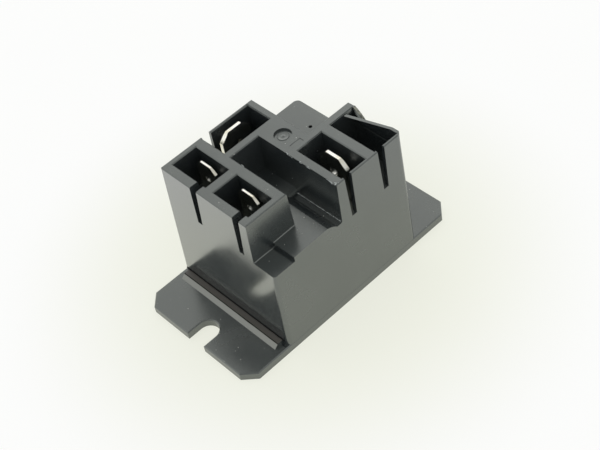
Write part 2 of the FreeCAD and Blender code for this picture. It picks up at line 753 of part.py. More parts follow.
def coil_wrap():
    x0, x1 = winding_span()
    inner = winding_radius + seat_gap
    return tube(inner + wrap_thickness, inner, (x0, axis_y, axis_z), (x1, axis_y, axis_z))


def core():
    x_tail = yoke_x0 - yoke_end_gap / 2
    shank = rod(core_radius, (yoke_x0 + yoke_thickness, axis_y, axis_z), (bobbin_x1, axis_y, axis_z))
    tail = rod(core_tail, (x_tail, axis_y, axis_z), (yoke_x0 + yoke_thickness, axis_y, axis_z))
    pole = rod(pole_radius, (bobbin_x1, axis_y, axis_z), (pole_face, axis_y, axis_z))
    rim = [e for e in pole.Edges if e.BoundBox.XMin > pole_face - 0.01]
    return shank.fuse([tail, pole.makeChamfer(pole_bevel, rim)]).removeSplitter()


def yoke():
    """Bent steel frame: an end that takes the core and a leg beside the coil."""
    t = yoke_thickness
    path = [(yoke_x0 + t / 2, bobbin_y0 + yoke_end_margin), (yoke_x0 + t / 2, yoke_y1 - t / 2),
            (pole_face, yoke_y1 - t / 2)]
    frame = rounded_strip(path, yoke_bend, t)
    frame.translate(Vector(0, 0, yoke_z0))
    frame = frame.extrude(Vector(0, 0, yoke_height))
    tail_hole = rod(core_tail + seat_gap, (yoke_x0 - 1, axis_y, axis_z), (yoke_x0 + 2 * t, axis_y, axis_z))
    frame = frame.cut(tail_hole)
    for x in spring_rivet_xs:
        frame = frame.cut(rod(rivet_radius + seat_gap, (x, yoke_y0 - 1, axis_z), (x, yoke_y1 + 1, axis_z)))
    return frame


def mirrored(lower, x):
    """A closed ring of points at x, from its half below the axis of the coil."""
    upper = [(y, 2 * axis_z - z) for y, z in reversed(lower)]
    return [(x, y, z) for y, z in lower + upper]


def armature():
    """Clapper plate, narrower where it sits against the yoke."""
    h = (yoke_height - armature_below_yoke) / 2
    n, c = h - armature_neck_step, armature_corner
    shoulder = yoke_y0 - armature_shoulder
    z = axis_z
    x = armature_x0
    lower = [(armature_y0, z - h + c), (armature_y0 + c, z - h), (shoulder, z - h),
             (shoulder + c, z - n), (armature_y1, z - n)]
    plate = prism(mirrored(lower, x), (armature_thickness, 0, 0))
    for rivet_z in blade_rivet_zs:
        plate = plate.cut(rod(rivet_radius + seat_gap, (x - 1, blade_rivet_y, rivet_z),
                              (x + armature_thickness + 1, blade_rivet_y, rivet_z)))
    return opened(plate)


def contact_blade():
    """Thin spring that carries the moving contact beyond the end of the armature."""
    wide, slim, c = blade_height / 2, blade_arm / 2, blade_corner
    z = axis_z
    y1 = armature_y1 - return_spring_lap - blade_below_spring
    y_neck = armature_y0 - blade_neck
    y0 = contact_y - blade_beyond_contact
    x = blade_x0 + seat_gap
    lower = [(y0, z - slim + c), (y0 + c, z - slim), (y_neck - c, z - slim),
             (y_neck, z - wide), (y1, z - wide)]
    leaf = prism(mirrored(lower, x), (blade_thickness - seat_gap, 0, 0))
    leaf = leaf.cut(rod(moving_contact_radius / 2 + seat_gap, (x - 1, contact_y, z), (x + 1, contact_y, z)))
    for rivet_z in blade_rivet_zs:
        hole = rod(rivet_radius + seat_gap, (x - 1, blade_rivet_y, rivet_z), (x + 1, blade_rivet_y, rivet_z))
        leaf = leaf.cut(hole)
    return opened(leaf)


def headed_rivet(start, end):
    """A rivet with a low tapered head beyond its end."""
    a, b = Vector(*start), Vector(*end)
    way = (b - a).normalize()
    head = Part.makeCone(rivet_head, rivet_radius, rivet_head_height, b, way)
    return rod(rivet_radius, start, end).fuse(head).removeSplitter()


def blade_rivets():
    rivets = []
    outer = blade_x1 + seat_gap
    for z in blade_rivet_zs:
        rivet = headed_rivet((armature_x0 + seat_gap, blade_rivet_y, z), (outer, blade_rivet_y, z))
        rivets.append(opened(rivet))
    return Part.makeCompound(rivets)


def moving_contact():
    y, z = contact_y, axis_z
    face = blade_x0 - moving_contact_height
    head = rod(moving_contact_radius, (face, y, z), (blade_x0, y, z))
    rim = [e for e in head.Edges if e.BoundBox.XMax < face + 0.01]
    head = head.makeChamfer(contact_bevel, rim)
    seat = (blade_x1 + seat_gap, y, z)
    shank = rod(moving_contact_radius / 2, (blade_x0, y, z), seat)
    tail = rod(moving_contact_radius / 2 + contact_tail_lip, seat, (blade_x1 + contact_tail_height, y, z))
    return opened(head.fuse([shank, tail]).removeSplitter())


def return_spring():
    """Leaf bent over the hinge: riveted to the yoke, it presses on the back of the armature."""
    t = return_spring_thickness
    leg_y = yoke_y1 + seat_gap + t / 2
    lap_x = blade_x0 + seat_gap + t / 2
    corner = opened_point(lap_x, leg_y)
    foot = opened_point(lap_x, armature_y1 - return_spring_lap)
    lean = math.tan(math.radians(open_angle))
    corner_x = corner[0] + (corner[1] - leg_y) * lean
    points = [(min(spring_rivet_xs) - return_spring_tail, leg_y), (corner_x, leg_y), foot]
    face = rounded_strip(points, 2 * t, t)
    z0 = axis_z - return_spring_width / 2
    face.translate(Vector(0, 0, z0))
    leaf = face.extrude(Vector(0, 0, return_spring_width))
    for x in spring_rivet_xs:
        leaf = leaf.cut(rod(rivet_radius + seat_gap, (x, yoke_y1 - 1, axis_z), (x, yoke_y1 + 2, axis_z)))
    return leaf


def spring_rivets():
    outer = yoke_y1 + return_spring_thickness + 2 * seat_gap
    return Part.makeCompound([headed_rivet((x, yoke_y0 + seat_gap, axis_z), (x, outer, axis_z))
                              for x in spring_rivet_xs])


def contact_carrier():
    """Moulded bridge under the roof: it backs the fixed contact and stops the open one."""
    y0 = -side_y(head_top) + wall + carrier_gap
    y1 = bobbin_y0 - 4 * carrier_gap
    foot = plate_top + carrier_gap / 2
    front = leg_front - seat_gap
    under = bobbin_z1 + 2 * carrier_gap
    bridge = box(front - carrier_wall, stop_x0 + stop_wall, y0, y1, under, head_top)
    post = box(front - carrier_wall, front, y0, y1, foot, under + carrier_lap)
    tail = fixed_contact_tail + tail_pocket_gap
    post = post.cut(rod(tail, (front - contact_tail_height - carrier_gap, contact_y, axis_z),
                        (front + 1, contact_y, axis_z)))
    stop = box(stop_x0, stop_x0 + stop_wall, contact_y - blade_beyond_contact, y1, foot, under + carrier_lap)
    fit = carrier_gap / 2
    slot = box(leg_front - seat_gap, leg_back + fit, no_tab_y - tab_width / 2 - fit,
               no_tab_y + tab_width / 2 + fit, under - 1, head_top + 1)
    return bridge.fuse([post, stop]).cut(slot).removeSplitter()


def coil_leads():
    """Two short wires from the winding to the pins of the coil terminals."""
    r = lead_radius
    surface = winding_radius + wrap_thickness + seat_gap + r + wire_gap / 2
    x_coil = bobbin_x0 + bobbin_flange_thickness + lead_in + r
    pin_x = coil_tab_x - coil_tab_thickness / 2 - r - seat_gap
    pin_z = bobbin_z1 - lead_drop
    leads = []
    for y, outward, angle in zip(coil_tab_ys, (1, -1), lead_angles):
        pin_y = y + outward * (coil_tab_width / 2 - lead_in)
        a = math.radians(angle)
        end_y = axis_y + outward * surface * math.cos(a)
        end_z = axis_z + surface * math.sin(a)
        mid = (x_coil + r, end_y, pin_z)
        points = [(pin_x, pin_y, pin_z), (pin_x - lead_run, pin_y, pin_z), mid, (x_coil, end_y, end_z)]
        leads.append(wire_along(points, lead_bends, r))
    return leads


def braid():
    """Copper braid from the common terminal's arm to the back of the blade."""
    start_x = arm_end - braid_radius
    start_y = common_tab_y - tab_thickness / 2
    start_z = arm_z0 + arm_height / 2
    blade_at = opened_point(blade_x1, axis_y)
    lean = braid_radius * math.tan(math.radians(open_angle))
    end_x = blade_at[0] + lean + wire_gap / 2
    turn_x = start_x + braid_step
    points = [(start_x, start_y, start_z),
              (start_x, start_y - braid_run, start_z),
              (turn_x, blade_at[1] + braid_turn_y, axis_z + braid_turn_height),
              (turn_x, blade_at[1], axis_z),
              (end_x, blade_at[1], axis_z)]
    return wire_along(points, braid_bends, braid_radius)


leads = coil_leads()
pieces = {
    "housing": housing(),
    "bottom_plate": bottom_plate(),
    "contact_carrier": contact_carrier(),
    "coil_terminal_1": coil_terminal(coil_tab_ys[0]),
    "coil_terminal_2": coil_terminal(coil_tab_ys[1]),
    "common_terminal": common_terminal(),
    "normally_open_terminal": normally_open_terminal(),
    "fixed_contact": fixed_contact(),
    "bobbin": bobbin(),
    "coil_winding": coil_winding(),
    "coil_wrap": coil_wrap(),
    "core": core(),
    "yoke": yoke(),
    "armature": armature(),
    "contact_blade": contact_blade(),
    "blade_rivets": blade_rivets(),
    "moving_contact": moving_contact(),
    "return_spring": return_spring(),
    "spring_rivets": spring_rivets(),
    "braid": braid(),
    "coil_lead_1": leads[0],
    "coil_lead_2": leads[1],
}
for name, shape in pieces.items():
    shape.exportStep(f"parts/{name}.step")
    solids = len(shape.Solids)
    print(f"{name}: {solids} solid(s), {shape.Volume:.1f} mm3, valid {shape.isValid()}")
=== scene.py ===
# %% [markdown]
# A flange-mounted relay: a black moulded case with five deep sockets in its top, four of them
# with a bright tab inside, and a small electromagnet with its clapper shut in below.
# The solids come from the CAD model, which is loaded first as a fixed frame. This lesson gives
# each of them its finish, adds the fine pieces that the solids are too plain for, and sets the
# camera, the floor and the light. Shapes are worked out in mm, and become metres in the mesh.

# %% Load the frame
import bpy
import bmesh
import math
import json
import numpy as np
from mathutils import Matrix, Vector


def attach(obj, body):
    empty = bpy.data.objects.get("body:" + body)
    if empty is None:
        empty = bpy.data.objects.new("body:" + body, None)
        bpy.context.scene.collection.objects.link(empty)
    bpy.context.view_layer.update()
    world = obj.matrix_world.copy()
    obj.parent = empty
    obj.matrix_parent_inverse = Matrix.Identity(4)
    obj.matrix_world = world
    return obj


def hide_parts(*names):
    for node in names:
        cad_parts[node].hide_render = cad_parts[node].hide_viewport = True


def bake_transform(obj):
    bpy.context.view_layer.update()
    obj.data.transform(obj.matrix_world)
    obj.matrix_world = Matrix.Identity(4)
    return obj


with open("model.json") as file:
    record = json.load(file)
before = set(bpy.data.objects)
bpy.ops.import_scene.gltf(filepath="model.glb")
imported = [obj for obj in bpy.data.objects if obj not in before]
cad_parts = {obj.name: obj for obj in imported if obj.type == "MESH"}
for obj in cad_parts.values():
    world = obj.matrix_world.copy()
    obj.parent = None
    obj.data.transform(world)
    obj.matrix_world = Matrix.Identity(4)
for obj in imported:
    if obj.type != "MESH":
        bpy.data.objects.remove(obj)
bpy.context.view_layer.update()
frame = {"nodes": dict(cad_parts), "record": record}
nodes = frame["nodes"]
mm = 0.001

# %% [markdown]
# The camera stands in front of the polished face and to the right, looking down at about
# 47 degrees. Its place and axes were solved from the case's own straight edges, so they are
# given as numbers. A long lens keeps the case's upright edges nearly parallel.

# %% Camera
right = Vector((0.71253, -0.686798, -0.143562)).normalized()
back = Vector((-0.389899, -0.55768, 0.732783)).normalized()
upward = back.cross(right).normalized()
right = upward.cross(back)
camera_place = Vector((-88.233, -126.391, 175.028))
focal_pixels = 1288.014
frame_wide, frame_high = 600, 450
centre_x, centre_y = 294.264, 225.310
lens = bpy.data.cameras.new("view_of_the_relay")
lens.sensor_width = 36.0
lens.lens = focal_pixels / frame_wide * lens.sensor_width
lens.shift_x = (frame_wide / 2 - centre_x) / frame_wide
lens.shift_y = (centre_y - frame_high / 2) / frame_wide
lens.clip_start = 0.01
camera = bpy.data.objects.new("camera", lens)
axes = Matrix((right, upward, back)).transposed().to_4x4()
camera.matrix_world = Matrix.Translation(camera_place * mm) @ axes
bpy.context.scene.collection.objects.link(camera)
bpy.context.scene.camera = camera
bpy.context.scene.view_settings.view_transform = "Standard"
print("lens", round(lens.lens, 2), "mm")

# %% [markdown]
# Surfaces are worked out with numpy as grids of points. One helper makes the four-sided faces of
# any grid, joined to its own start where it runs round on itself, and another closes a tube with
# caps. Several closed shapes can then be put into one mesh, with every face turned outwards.

# %% Grids into meshes
def grid_faces(rows, columns, round_rows, round_columns):
    """Face (i, j) joins points (i, j), (i+1, j), (i+1, j+1) and (i, j+1) of the grid."""
    i = np.arange(rows if round_rows else rows - 1)
    j = np.arange(columns if round_columns else columns - 1)
    i, j = [a.ravel() for a in np.meshgrid(i, j, indexing="ij")]
    i2, j2 = (i + 1) % rows, (j + 1) % columns
    corners = (i * columns + j, i2 * columns + j, i2 * columns + j2, i * columns + j2)
    return np.stack(corners, 1).tolist()


def tube_faces(rings, sides):
    """The faces between the rings of a tube, and a cap of one face on each end."""
    last = rings * sides - 1
    caps = [list(range(sides)), list(range(last, last - sides, -1))]
    return grid_faces(rings, sides, False, True) + caps


def gather(shapes):
    """Several closed shapes as one array of points and one list of faces, numbered on."""
    points, faces, first = [], [], 0
    for shape_points, shape_faces in shapes:
        points.append(shape_points)
        faces += [[v + first for v in face] for face in shape_faces]
        first += len(shape_points)
    return np.concatenate(points), faces


def mesh_piece(name, points, faces, smooth=True):
    """An object at the origin, whose mesh holds points in mm at their place in the frame."""
    mesh = bpy.data.meshes.new(name)
    mesh.from_pydata((np.asarray(points) * mm).tolist(), [], faces)
    mesh.polygons.foreach_set("use_smooth", np.full(len(mesh.polygons), smooth))
    mesh.update()
    piece = bpy.data.objects.new(name, mesh)
    bpy.context.scene.collection.objects.link(piece)
    return piece


def outwards(piece):
    """Turn every face of a closed mesh outwards."""
    work = bmesh.new()
    work.from_mesh(piece.data)
    bmesh.ops.recalc_face_normals(work, faces=work.faces)
    work.to_mesh(piece.data)
    work.free()
    return piece


print("a tube of 3 rings of 4 points has", len(tube_faces(3, 4)), "faces")

# %% [markdown]
# Several pieces are thin bodies carried along a line: a strand, a raised edge, a bead of dirt.
# One helper does them all. It takes the points of the line and the size of the section at each,
# and turns the section so that it always stands square to the line. A hand-made edge is never
# even, so another helper gives soft random numbers, the same ones on every run.

# %% Bodies along a line
def square_frames(line):
    """Two directions square to the line at each point: one level, and one square to both."""
    ahead = np.gradient(line, axis=0)
    ahead /= np.linalg.norm(ahead, axis=1, keepdims=True)
    steep = np.abs(ahead[:, 2:]) > 0.9
    side = np.cross(ahead, np.where(steep, (1.0, 0.0, 0.0), (0.0, 0.0, 1.0)))
    side /= np.linalg.norm(side, axis=1, keepdims=True)
    return side, np.cross(side, ahead)


def along_line(line, wide, high, sides=8, side=None, over=None):
    """Point (i, j) is line point i plus cos(a) times the width and sin(a) times the height there,
    with a going once round as j does. The ends are closed by a cap of one face each."""
    line = np.asarray(line, float)
    if side is None:
        side, over = square_frames(line)
    count = len(line)
    a = np.linspace(0, 2 * np.pi, sides, endpoint=False)
    wide, high = np.broadcast_to(wide, count), np.broadcast_to(high, count)
    ring = (side[:, None] * (np.cos(a)[None, :, None] * wide[:, None, None])
            + over[:, None] * (np.sin(a)[None, :, None] * high[:, None, None]))
    return (line[:, None] + ring).reshape(-1, 3), tube_faces(count, sides)


def unrest(count, seed, smooth=3):
    """Even random numbers from -1 to 1, each blended with its neighbours."""
    values = np.random.default_rng(seed).uniform(-1, 1, count + 2 * smooth)
    return np.convolve(values, np.ones(2 * smooth + 1) / (smooth + 0.5), "valid")


print("unrest of 5 points:", np.round(unrest(5, 1), 2))

# %% [markdown]
# The relay lies on white paper, and the photograph is bright all round, with one soft shadow on
# the right. The floor is a wide pale sheet that curves up far behind, so no horizon shows.

# %% Floor
def floor_sheet(half=3000, count=61, flat=1000, bend=2400, clear=0.02):
    """The height is nought to a metre behind the relay, then the square of the distance beyond
    over the bend. All of it lies a hair lower, clear of the underside."""
    behind_x, behind_y = 0.57, 0.82
    u = np.linspace(-half, half, count)
    along, across = np.meshgrid(u, u, indexing="ij")
    away = (along * behind_x + across * behind_y) - flat
    height = np.where(away > 0, away ** 2 / bend, 0.0) - clear
    points = np.stack([along, across, height], 2).reshape(-1, 3)
    return mesh_piece("paper_floor", points, grid_faces(count, count, False, False))


floor = floor_sheet()
print("floor of", len(floor.data.polygons), "faces")

# %% [markdown]
# An effect that several finishes share is a shader node group. Its helper makes the group's
# sockets, then hands back the nodes at both ends, and a second helper places it in a material.
# The others add a node or a few and give back what they put out, so a pattern reads as a sum.

# %% Node helpers
def feed(tree, socket, value):
    """Link another node's output to the socket, or else set a number or a colour on it."""
    if isinstance(value, bpy.types.NodeSocket):
        tree.links.new(value, socket)
    else:
        socket.default_value = value


def new_group(name, inputs, outputs):
    """A node group with these sockets, and the nodes where it starts and ends."""
    tree = bpy.data.node_groups.new(name, "ShaderNodeTree")
    for label, kind, value in inputs:
        socket = tree.interface.new_socket(label, in_out="INPUT", socket_type=kind)
        socket.default_value = value
    for label, kind in outputs:
        tree.interface.new_socket(label, in_out="OUTPUT", socket_type=kind)
    return tree, tree.nodes.new("NodeGroupInput"), tree.nodes.new("NodeGroupOutput")


def use_group(tree, group, **values):
    """The group as a node of this tree, with a value or a link for each named input."""
    node = tree.nodes.new("ShaderNodeGroup")
    node.node_tree = group
    for label, value in values.items():
        feed(tree, node.inputs[label], value)
    return node


def calculate(tree, operation, *values):
    """One Math node."""
    node = tree.nodes.new("ShaderNodeMath")
    node.operation = operation
    for socket, value in zip(node.inputs, values):
        feed(tree, socket, value)
    return node.outputs[0]


def product(tree, *values):
    """All the values multiplied together, which for masks means that every one is on."""
    result = values[0]
    for value in values[1:]:
        result = calculate(tree, "MULTIPLY", result, value)
    return result


def within(tree, value, middle, reach):
    """One where the value is nearer to the middle than the reach, and nought elsewhere."""
    off = calculate(tree, "ABSOLUTE", calculate(tree, "SUBTRACT", value, middle))
    return calculate(tree, "LESS_THAN", off, reach)


def noise(tree, vector, scale, detail, roughness):
    """Soft random cloud with so many waves to the metre."""
    node = tree.nodes.new("ShaderNodeTexNoise")
    for label, value in (("Vector", vector), ("Scale", scale), ("Detail", detail),
                         ("Roughness", roughness)):
        feed(tree, node.inputs[label], value)
    return node.outputs["Fac"]


def remap(tree, value, low, high, to_low, to_high, smooth=False):
    """The value moved from the range low to high into the range to_low to to_high."""
    node = tree.nodes.new("ShaderNodeMapRange")
    node.interpolation_type = "SMOOTHSTEP" if smooth else "LINEAR"
    for label, number in (("Value", value), ("From Min", low), ("From Max", high),
                          ("To Min", to_low), ("To Max", to_high)):
        feed(tree, node.inputs[label], number)
    return node.outputs["Result"]


def split(tree, vector):
    """The X, Y and Z of a vector."""
    node = tree.nodes.new("ShaderNodeSeparateXYZ")
    tree.links.new(vector, node.inputs["Vector"])
    return node.outputs["X"], node.outputs["Y"], node.outputs["Z"]


# %% [markdown]
# Moulded plastic is never quite even. The steel mould leaves a fine grain, handling leaves faint
# smears that change the gloss, and dust settles on whatever faces upwards. Each is a group of
# its own, so every plastic on the relay can have its own measure of it. A size is given in mm,
# and a pattern's scale is the waves to the metre, so one is a thousand over the other.

# %% Grain, smears and dust
grain, into, out = new_group("mould_grain", [("Vector", "NodeSocketVector", (0, 0, 0)),
                                             ("Size", "NodeSocketFloat", 0.12)],
                             [("Height", "NodeSocketFloat")])
grain_scale = calculate(grain, "DIVIDE", 1000.0, into.outputs["Size"])
grain.links.new(noise(grain, into.outputs["Vector"], grain_scale, 3.0, 0.6), out.inputs["Height"])

smears, into, out = new_group("handling_smears", [("Vector", "NodeSocketVector", (0, 0, 0)),
                                                  ("Clean", "NodeSocketFloat", 0.3),
                                                  ("Smeared", "NodeSocketFloat", 0.4)],
                              [("Roughness", "NodeSocketFloat"), ("Mask", "NodeSocketFloat")])
broad = noise(smears, into.outputs["Vector"], 110.0, 4.0, 0.55)
patchy = remap(smears, broad, 0.42, 0.66, 0.0, 1.0, True)
smears.links.new(patchy, out.inputs["Mask"])
smears.links.new(remap(smears, patchy, 0.0, 1.0, into.outputs["Clean"], into.outputs["Smeared"]),
                 out.inputs["Roughness"])

dust, into, out = new_group("settled_dust", [("Vector", "NodeSocketVector", (0, 0, 0)),
                                             ("Normal", "NodeSocketVector", (0, 0, 1)),
                                             ("Spacing", "NodeSocketFloat", 0.6),
                                             ("Share", "NodeSocketFloat", 0.2)],
                            [("Mask", "NodeSocketFloat")])
cells = dust.nodes.new("ShaderNodeTexVoronoi")
dust.links.new(into.outputs["Vector"], cells.inputs["Vector"])
dust.links.new(calculate(dust, "DIVIDE", 1000.0, into.outputs["Spacing"]), cells.inputs["Scale"])
chance = dust.nodes.new("ShaderNodeSeparateColor")
dust.links.new(cells.outputs["Color"], chance.inputs["Color"])
speck_size = remap(dust, chance.outputs["Green"], 0.0, 1.0, 0.03, 0.17)
near = calculate(dust, "LESS_THAN", cells.outputs["Distance"], speck_size)
chosen = calculate(dust, "LESS_THAN", chance.outputs["Red"], into.outputs["Share"])
upwards = remap(dust, split(dust, into.outputs["Normal"])[2], 0.0, 0.7, 0.12, 1.0, True)
dust.links.new(product(dust, near, chosen, upwards), out.inputs["Mask"])
print("dust group:", len(dust.nodes), "nodes")

# %% [markdown]
# Rolled and drawn metal has fine lines along the way it was worked. The group stretches a noise
# so that its grains become long lines, and gives a height for the bump and a gloss to go with it.
# A second group blends a bright and a dull colour in stains, as metal tarnishes.

# %% Rolled lines and tarnish
rolled, into, out = new_group("rolled_lines", [("Vector", "NodeSocketVector", (0, 0, 0)),
                                               ("Stretch", "NodeSocketVector", (1, 1, 0.05)),
                                               ("Smooth", "NodeSocketFloat", 0.18),
                                               ("Rough", "NodeSocketFloat", 0.34)],
                              [("Height", "NodeSocketFloat"), ("Roughness", "NodeSocketFloat")])
drawn = rolled.nodes.new("ShaderNodeVectorMath")
drawn.operation = "MULTIPLY"
rolled.links.new(into.outputs["Vector"], drawn.inputs[0])
rolled.links.new(into.outputs["Stretch"], drawn.inputs[1])
lines = noise(rolled, drawn.outputs[0], 9000.0, 2.0, 0.6)
rolled.links.new(lines, out.inputs["Height"])
rolled.links.new(remap(rolled, lines, 0.3, 0.7, into.outputs["Smooth"], into.outputs["Rough"]),
                 out.inputs["Roughness"])


def mix_colours(tree, factor, first, second):
    """The first colour where the factor is nought, the second where it is one."""
    node = tree.nodes.new("ShaderNodeMix")
    node.data_type = "RGBA"
    tree.links.new(factor, node.inputs["Factor"])
    for socket, value in ((node.inputs[6], first), (node.inputs[7], second)):
        feed(tree, socket, (*value, 1.0) if isinstance(value, tuple) else value)
    return node.outputs[2]


tarnish, into, out = new_group("tarnish", [("Vector", "NodeSocketVector", (0, 0, 0)),
                                           ("Bright", "NodeSocketColor", (1, 1, 1, 1)),
                                           ("Dull", "NodeSocketColor", (0.6, 0.5, 0.4, 1))],
                               [("Color", "NodeSocketColor")])
stained = noise(tarnish, into.outputs["Vector"], 420.0, 5.0, 0.6)
stain = remap(tarnish, stained, 0.4, 0.72, 0.0, 1.0, True)
tarnish.links.new(mix_colours(tarnish, stain, into.outputs["Bright"], into.outputs["Dull"]),
                  out.inputs["Color"])
print("shared groups:", [g.name for g in bpy.data.node_groups])

# %% [markdown]
# Every material starts the same way: a Principled shader, and the object's own coordinates,
# which are metres in the relay's frame because each piece lies in its mesh where it belongs.

# %% Material helpers
def start_material(name):
    """A new material, its node tree, its shader, and the place on the object."""
    material = bpy.data.materials.new(name)
    material.use_nodes = True
    tree = material.node_tree
    place = tree.nodes.new("ShaderNodeTexCoord").outputs["Object"]
    return material, tree, tree.nodes["Principled BSDF"], place


def raise_bump(tree, shader, height, strength, distance_mm):
    """Tilt the shader's normal as if the surface rose by the height times the distance."""
    bump = tree.nodes.new("ShaderNodeBump")
    bump.inputs["Strength"].default_value = strength
    bump.inputs["Distance"].default_value = distance_mm * mm
    tree.links.new(height, bump.inputs["Height"])
    tree.links.new(bump.outputs["Normal"], shader.inputs["Normal"])


# %% [markdown]
# The case is one moulding, satin almost everywhere, but its front face was polished in the mould
# and mirrors the flange in front of it. The material finds that face by its place: it leans back
# by 0.0385 mm for each mm of height, from 15.9 mm in front of the origin. By place too, dust is
# thinner on the top, which a hand wipes, than in the hollows, and the worn bevel along one step
# of the top is matt. Colour, gloss and bump all vary, so it could not be one flat finish.

# %% Case plastic
face_lean, face_ahead, face_foot, face_reach = 0.0385, 15.9, 2.0, 0.04
bevel_z, bevel_reach, bevel_behind, bevel_beside = 27.27, 0.07, 4.5, -2.4
wiped_above, wiped_share, hollow_share = 27.2, 0.08, 0.26


def case_finish():
    """Roughness is the satin or the polished one by place, and never less than 0.85 on the worn
    bevel. The grain is raised off the polished face, and scuff lines on it."""
    material, tree, shader, place = start_material("case_plastic")
    x, y, z = split(tree, place)
    face_x = calculate(tree, "SUBTRACT", product(tree, z, face_lean), face_ahead * mm)
    polished = product(tree, within(tree, x, face_x, face_reach * mm),
                       calculate(tree, "GREATER_THAN", z, face_foot * mm))
    gloss = use_group(tree, smears, Vector=place, Clean=0.20, Smeared=0.28)
    shine = use_group(tree, smears, Vector=place, Clean=0.14, Smeared=0.24)
    roughness = remap(tree, polished, 0.0, 1.0, gloss.outputs["Roughness"],
                      shine.outputs["Roughness"])
    matt_edge = product(tree, within(tree, z, bevel_z * mm, bevel_reach * mm),
                        calculate(tree, "GREATER_THAN", x, bevel_behind * mm),
                        calculate(tree, "GREATER_THAN", y, bevel_beside * mm))
    tree.links.new(calculate(tree, "MAXIMUM", roughness, product(tree, matt_edge, 0.85)),
                   shader.inputs["Roughness"])
    hollow = calculate(tree, "LESS_THAN", z, wiped_above * mm)
    specks = use_group(tree, dust, Vector=place, Normal=place.node.outputs["Normal"], Spacing=0.7,
                       Share=remap(tree, hollow, 0.0, 1.0, wiped_share, hollow_share))
    tone = mix_colours(tree, gloss.outputs["Mask"], (0.021, 0.025, 0.027), (0.029, 0.033, 0.034))
    tree.links.new(mix_colours(tree, specks.outputs["Mask"], tone, (0.24, 0.24, 0.22)),
                   shader.inputs["Base Color"])
    shader.inputs["IOR"].default_value = 2.25
    shader.inputs["Specular Tint"].default_value = (0.96, 1.0, 0.94, 1.0)
    tree.links.new(polished, shader.inputs["Coat Weight"])
    shader.inputs["Coat Roughness"].default_value = 0.19
    shader.inputs["Coat IOR"].default_value = 1.6
    texture = use_group(tree, grain, Vector=place, Size=0.16)
    scuffs = use_group(tree, rolled, Vector=place, Stretch=(1, 0.35, 0.04))
    coarse = product(tree, texture.outputs["Height"], calculate(tree, "SUBTRACT", 1.0, polished))
    fine_lines = product(tree, scuffs.outputs["Height"], polished, 0.3)
    raise_bump(tree, shader, calculate(tree, "ADD", coarse, fine_lines), 0.16, 0.02)
    return material


def plain_plastic(name, light, dark, clean, smeared, grain_size, bump, dusty=0.05):
    """Two near colours and two near glosses that follow the smears, with grain and a few specks."""
    material, tree, shader, place = start_material(name)
    gloss = use_group(tree, smears, Vector=place, Clean=clean, Smeared=smeared)
    specks = use_group(tree, dust, Vector=place, Normal=place.node.outputs["Normal"], Spacing=0.8,
                       Share=dusty)
    tone = mix_colours(tree, gloss.outputs["Mask"], light, dark)
    tree.links.new(mix_colours(tree, specks.outputs["Mask"], tone, (0.4, 0.4, 0.38)),
                   shader.inputs["Base Color"])
    tree.links.new(gloss.outputs["Roughness"], shader.inputs["Roughness"])
    texture = use_group(tree, grain, Vector=place, Size=grain_size)
    raise_bump(tree, shader, texture.outputs["Height"], bump, 0.02)
    return material


plastics = {
    "plate_plastic": ((0.030, 0.031, 0.031), (0.040, 0.041, 0.041), 0.42, 0.55, 0.14, 0.35),
    "carrier_plastic": ((0.062, 0.063, 0.068), (0.075, 0.076, 0.08), 0.45, 0.55, 0.14, 0.3, 0.0),
    "bobbin_plastic": ((0.66, 0.63, 0.53), (0.60, 0.56, 0.45), 0.38, 0.50, 0.2, 0.25, 0.0),
    "wrap_film": ((0.75, 0.50, 0.05), (0.70, 0.44, 0.04), 0.16, 0.28, 0.5, 0.2, 0.0),
}
finishes = {name: plain_plastic(name, *values) for name, values in plastics.items()}
finishes["case_plastic"] = case_finish()
print("plastics:", list(finishes))

# %% [markdown]
# The metals are finished in their real ways: tabs of tinned brass with rolling lines along them,
# zinc plated iron in the magnet, bare beryllium copper in the springs, and silver contacts. Each
# row gives the bright and the dull colour, the smoothest and the roughest gloss, and how much
# the lines are drawn out along each axis.

# %% Metals
def metal(name, bright, dull, smooth, rough, stretch, bump=0.15):
    """A bare metal whose colour follows the tarnish, and its gloss and bump the rolled lines."""
    material, tree, shader, place = start_material(name)
    worked = use_group(tree, rolled, Vector=place, Stretch=stretch, Smooth=smooth, Rough=rough)
    colour = use_group(tree, tarnish, Vector=place, Bright=(*bright, 1.0), Dull=(*dull, 1.0))
    tree.links.new(colour.outputs["Color"], shader.inputs["Base Color"])
    tree.links.new(worked.outputs["Roughness"], shader.inputs["Roughness"])
    shader.inputs["Metallic"].default_value = 1.0
    raise_bump(tree, shader, worked.outputs["Height"], bump, 0.01)
    return material


metals = {
    "tinned_brass": ((1.0, 0.98, 0.91), (0.88, 0.83, 0.66), 0.12, 0.26, (1, 1, 0.04)),
    "burnished_tin": ((1.0, 0.99, 0.95), (0.95, 0.93, 0.86), 0.09, 0.15, (1, 1, 1), 0.02),
    "contact_silver": ((0.90, 0.89, 0.86), (0.72, 0.70, 0.66), 0.16, 0.30, (0.2, 1, 1)),
    "magnet_wire": ((0.62, 0.25, 0.10), (0.48, 0.16, 0.06), 0.20, 0.32, (1, 1, 1), 0.05),
    "magnet_steel": ((0.66, 0.66, 0.64), (0.50, 0.50, 0.47), 0.26, 0.42, (0.05, 1, 1)),
    "spring_copper": ((0.84, 0.52, 0.32), (0.70, 0.38, 0.20), 0.20, 0.34, (1, 0.05, 1)),
    "rivet_steel": ((0.74, 0.74, 0.73), (0.58, 0.58, 0.56), 0.22, 0.36, (1, 1, 1)),
    "braid_copper": ((0.80, 0.42, 0.24), (0.60, 0.28, 0.13), 0.26, 0.40, (1, 1, 1), 0.05),
}
finishes.update({name: metal(name, *values) for name, values in metals.items()})
print("metals:", list(metals))

# %% [markdown]
# Each solid of the CAD model takes the finish that its record names. The pieces that follow are
# made by one helper: a closed mesh, its faces turned outwards, with its finish on it.

